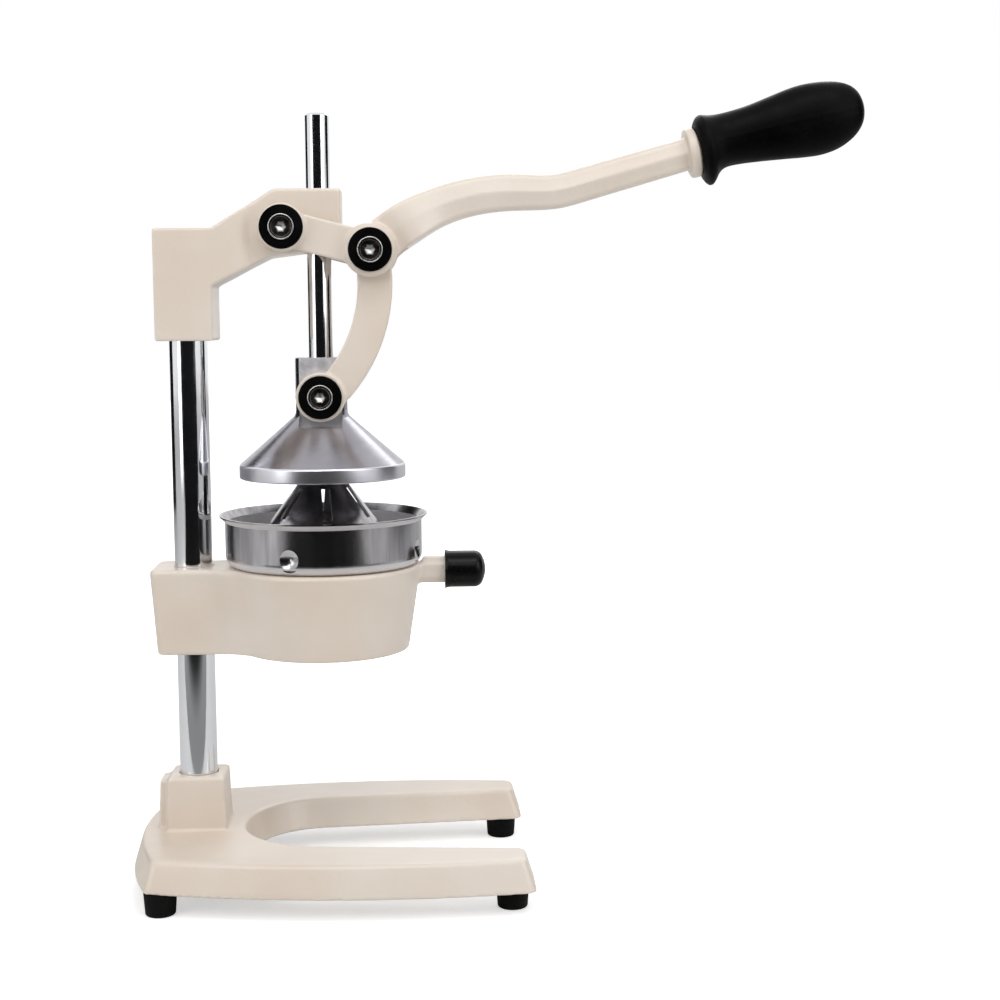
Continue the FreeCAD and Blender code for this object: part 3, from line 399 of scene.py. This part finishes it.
# Press cup: the same turned shape, with a slot for the yoke cut square into both its flanks
CUP_RADIUS, CUP_NECK, CUP_SPIGOT, CUP_SPIGOT_DEEP = 0.0485, 0.0151, 0.00605, 0.014
CUP_FLAT, CUP_SLOT, CUP_FLAT_LOW = 0.0085, 0.0124, 0.2686
CUP_BORE, CUP_BORE_HIGH = 0.0051, 0.286
CUP_POINTS = 180
CUTTER = 0.06
EDGE = 0.0003
cup_low, cup_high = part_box("press_cup")
base, top = cup_low.z, cup_high.z
# The cup's profile from the top of its inner dome, as (radius, height)
profile = ((0.0002, base + 0.0268), (0.012, base + 0.0262), (0.024, base + 0.0226), (0.034, base + 0.0162),
           (0.041, base + 0.009), (0.0453, base + 0.0028), (CUP_RADIUS - 0.0028, base),
           (CUP_RADIUS - 0.0007, base), (CUP_RADIUS - 0.0002, base + 0.0003), (CUP_RADIUS, base + 0.0008),
           (CUP_RADIUS, base + 0.0073), (CUP_RADIUS - 0.00025, base + 0.0079),
           (CUP_RADIUS - 0.0008, base + 0.0085), (CUP_NECK + 0.0022, 0.2738), (CUP_NECK + 0.001, 0.2749),
           (CUP_NECK + 0.0003, 0.2764), (CUP_NECK, 0.2784), (CUP_NECK, top - 0.0009),
           (CUP_NECK - 0.0003, top - 0.0003), (CUP_NECK - 0.0009, top), (CUP_SPIGOT, top),
           (CUP_SPIGOT, top - CUP_SPIGOT_DEEP))
turns = [2 * math.pi * n / CUP_POINTS for n in range(CUP_POINTS)]
rings = [[Vector((radius * math.cos(turn), radius * math.sin(turn), height)) for turn in turns]
         for radius, height in profile]
cup = piece("press_cup_dressed", *skin(rings), "satin_cup", "plunger")


def cutter(make, **shape):
    """An object that the cup is cut by, made by a bmesh call."""
    form = bmesh.new()
    make(form, **shape)
    mesh = bpy.data.meshes.new("cup_cut")
    form.to_mesh(mesh)
    form.free()
    made = bpy.data.objects.new("cup_cut", mesh)
    scene.collection.objects.link(made)
    cut = cup.modifiers.new("cut", "BOOLEAN")
    cut.operation = "DIFFERENCE"
    cut.solver = "EXACT"
    cut.object = made
    return made


cutters = []
for sign in (1, -1):
    middle = Matrix.Translation((0, sign * (CUP_FLAT + CUTTER / 2), CUP_FLAT_LOW + CUTTER / 2))
    cutters.append(cutter(bmesh.ops.create_cube, size=1,
                          matrix=middle @ Matrix.Diagonal((CUP_SLOT * 2, CUTTER, CUTTER, 1))))
cutters.append(cutter(bmesh.ops.create_cone, cap_ends=True, segments=48, radius1=CUP_BORE, radius2=CUP_BORE,
                      depth=0.05, matrix=Matrix.Translation((0, 0, CUP_BORE_HIGH))
                      @ Matrix.Rotation(math.pi / 2, 4, "X")))
bevel = cup.modifiers.new("edges", "BEVEL")
bevel.width = EDGE
bevel.segments = 2
bevel.limit_method = "ANGLE"
bevel.angle_limit = math.radians(35)
bpy.context.view_layer.update()
shaped = bpy.data.meshes.new_from_object(cup.evaluated_get(bpy.context.evaluated_depsgraph_get()))
cup.modifiers.clear()
cup.data = shaped
for thing in cutters:
    bpy.data.objects.remove(thing, do_unlink=True)
# The milled flats and the turned rim band have finishes of their own
for finish in ("milled_steel", "turned_rim"):
    shaped.materials.append(finishes[finish])
for face in shaped.polygons:
    flat = abs(face.normal.y) > 0.95 and abs(face.center.x) < CUP_SLOT + 0.001
    if flat and face.center.z > CUP_FLAT_LOW - 0.001:
        face.material_index = 1
    elif math.hypot(face.center.x, face.center.y) > CUP_RADIUS - 0.0006:
        face.material_index = 2
even = cup.modifiers.new("even", "WEIGHTED_NORMAL")
even.keep_sharp = True
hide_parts("press_cup")


# Floor, light and camera

def plane(name, corners, material):
    """A flat stage piece that isn't part of the object."""
    data = bpy.data.meshes.new(name)
    data.from_pydata(corners, [], [tuple(range(len(corners)))])
    data.materials.append(material)
    thing = bpy.data.objects.new(name, data)
    scene.collection.objects.link(thing)


def camera_ray(tree):
    """1 for rays that come straight from the camera."""
    return tree.nodes.new("ShaderNodeLightPath").outputs["Is Camera Ray"]


def floor_material():
    """A white floor that keeps the object's shadow near it and is plain white farther off."""
    material = bpy.data.materials.new("pale_floor")
    material.use_nodes = True
    tree = material.node_tree
    surface = tree.nodes["Principled BSDF"]
    surface.inputs["Base Color"].default_value = (0.8, 0.8, 0.8, 1)
    surface.inputs["Roughness"].default_value = 0.9
    surface.inputs["Specular IOR Level"].default_value = 0.1
    place = tree.nodes.new("ShaderNodeTexCoord")
    length = tree.nodes.new("ShaderNodeVectorMath")
    length.operation = "LENGTH"
    tree.links.new(place.outputs["Object"], length.inputs[0])
    spread = tree.nodes.new("ShaderNodeMapRange")
    spread.interpolation_type = "SMOOTHSTEP"
    spread.inputs["From Min"].default_value = 0.25
    spread.inputs["From Max"].default_value = 0.9
    spread.inputs["To Min"].default_value = 0.5
    spread.inputs["To Max"].default_value = 1.0
    tree.links.new(length.outputs["Value"], spread.inputs["Value"])
    gain = tree.nodes.new("ShaderNodeMath")
    gain.operation = "MULTIPLY"
    tree.links.new(spread.outputs["Result"], gain.inputs[0])
    tree.links.new(camera_ray(tree), gain.inputs[1])
    surface.inputs["Emission Color"].default_value = (1, 1, 1, 1)
    tree.links.new(gain.outputs[0], surface.inputs["Emission Strength"])
    return material


def card_material(name):
    """A black studio card that the camera doesn't see."""
    material = bpy.data.materials.new(name)
    material.use_nodes = True
    tree = material.node_tree
    surface = tree.nodes["Principled BSDF"]
    surface.inputs["Base Color"].default_value = (0.012, 0.012, 0.014, 1)
    surface.inputs["Roughness"].default_value = 1
    surface.inputs["Specular IOR Level"].default_value = 0
    clear = tree.nodes.new("ShaderNodeBsdfTransparent")
    choice = tree.nodes.new("ShaderNodeMixShader")
    tree.links.new(camera_ray(tree), choice.inputs[0])
    tree.links.new(surface.outputs[0], choice.inputs[1])
    tree.links.new(clear.outputs[0], choice.inputs[2])
    tree.links.new(choice.outputs[0], tree.nodes["Material Output"].inputs["Surface"])
    return material


def floor_card_material():
    """A card over the floor that only reflections show: grey at its near edge and black farther off."""
    material = card_material("floor_card")
    tree = material.node_tree
    surface = tree.nodes["Principled BSDF"]
    place = tree.nodes.new("ShaderNodeNewGeometry")
    apart = tree.nodes.new("ShaderNodeSeparateXYZ")
    tree.links.new(place.outputs["Position"], apart.inputs[0])
    shade = tree.nodes.new("ShaderNodeMapRange")
    shade.interpolation_type = "SMOOTHSTEP"
    shade.inputs["From Min"].default_value = -0.66
    shade.inputs["From Max"].default_value = -0.36
    shade.inputs["To Min"].default_value = 0.012
    shade.inputs["To Max"].default_value = 0.3
    tree.links.new(apart.outputs["Y"], shade.inputs["Value"])
    tree.links.new(shade.outputs["Result"], surface.inputs["Base Color"])
    choice = next(node for node in tree.nodes if node.bl_idname == "ShaderNodeMixShader")
    path = tree.nodes.new("ShaderNodeLightPath")
    clear = next(node for node in tree.nodes if node.bl_idname == "ShaderNodeBsdfTransparent")
    tree.links.new(path.outputs["Is Glossy Ray"], choice.inputs[0])
    tree.links.new(clear.outputs[0], choice.inputs[1])
    tree.links.new(surface.outputs[0], choice.inputs[2])
    return material


def lamp(name, place, size, power):
    """A rectangular lamp that looks at the middle of the object; its size is (width, height)."""
    data = bpy.data.lights.new(name, "AREA")
    data.shape = "RECTANGLE"
    data.size, data.size_y = size
    data.energy = power
    thing = bpy.data.objects.new(name, data)
    thing.location = place
    thing.rotation_euler = (LAMP_AIM - Vector(place)).to_track_quat("-Z", "Y").to_euler()
    scene.collection.objects.link(thing)


FLOOR_REACH = 6
plane("floor", [(x * FLOOR_REACH, y * FLOOR_REACH, 0) for x, y in ((-1, -1), (1, -1), (1, 1), (-1, 1))],
      floor_material())

black = card_material("black_card")
# Each card: name, bearings of its two edges in degrees from -Y towards +X, distance and height in metres
for name, first, last, far, high in (("card_camera", -42, 48, 2.4, 1.15), ("card_right", 84, 122, 2.0, 1.6),
                                     ("card_left", -150, -104, 2.2, 1.6)):
    ends = [(far * math.sin(math.radians(a)), -far * math.cos(math.radians(a))) for a in (first, last)]
    plane(name, [(*ends[0], 0), (*ends[1], 0), (*ends[1], high), (*ends[0], high)], black)

CARD_LIFT = 0.004
plane("card_floor", [(x, y, CARD_LIFT) for x, y in ((-1.6, -2.4), (1.6, -2.4), (0.9, -0.22), (-0.7, -0.22))],
      floor_card_material())

# The room is white to the camera and in reflections, and gives a weaker white light
ROOM_LIGHT = 0.62
world = bpy.data.worlds.new("studio")
scene.world = world
world.use_nodes = True
sky = world.node_tree
background = sky.nodes["Background"]
path = sky.nodes.new("ShaderNodeLightPath")
seen = sky.nodes.new("ShaderNodeMath")
seen.operation = "MAXIMUM"
sky.links.new(path.outputs["Is Camera Ray"], seen.inputs[0])
sky.links.new(path.outputs["Is Glossy Ray"], seen.inputs[1])
either = sky.nodes.new("ShaderNodeMath")
either.operation = "MAXIMUM"
sky.links.new(seen.outputs[0], either.inputs[0])
sky.links.new(path.outputs["Is Transmission Ray"], either.inputs[1])
level = sky.nodes.new("ShaderNodeMapRange")
level.inputs["To Min"].default_value = ROOM_LIGHT
level.inputs["To Max"].default_value = 1.0
sky.links.new(either.outputs[0], level.inputs["Value"])
sky.links.new(level.outputs["Result"], background.inputs["Strength"])
background.inputs["Color"].default_value = (1, 1, 1, 1)

LAMP_AIM = Vector((0.05, 0, 0.25))
lamp("key", (-0.6, -1.7, 1.25), (1.5, 1.2), 14)
lamp("fill", (1.3, -1.1, 0.9), (0.9, 1.2), 7)
lamp("top", (0.3, -0.95, 1.9), (1.2, 0.7), 8.5)
lamp("rim", (0.3, 1.4, 1.3), (1.2, 0.6), 5)
lamp("side", (-1.15, -0.85, 0.42), (0.4, 0.6), 1.6)

# The camera stands where the photo's does
CAMERA_PLACE = (0.0549, -1.0075, 0.332)
YAW, PITCH, ROLL = math.radians(2.79), math.radians(6.12), -0.0065
SENSOR, LENS_RATIO = 36, 1.7155
ahead = Vector((math.sin(YAW) * math.cos(PITCH), math.cos(YAW) * math.cos(PITCH), -math.sin(PITCH)))
right = Vector((math.cos(YAW), -math.sin(YAW), 0))
upward = right.cross(ahead)
right_rolled = right * math.cos(ROLL) + upward * math.sin(ROLL)
up_rolled = upward * math.cos(ROLL) - right * math.sin(ROLL)
turn = Matrix((right_rolled, up_rolled, -ahead)).transposed().to_4x4()
eye = bpy.data.cameras.new("camera")
eye.sensor_width = SENSOR
eye.lens = SENSOR * LENS_RATIO
eye.clip_end = 30
camera = bpy.data.objects.new("camera", eye)
camera.matrix_world = Matrix.Translation(CAMERA_PLACE) @ turn
scene.collection.objects.link(camera)
scene.camera = camera
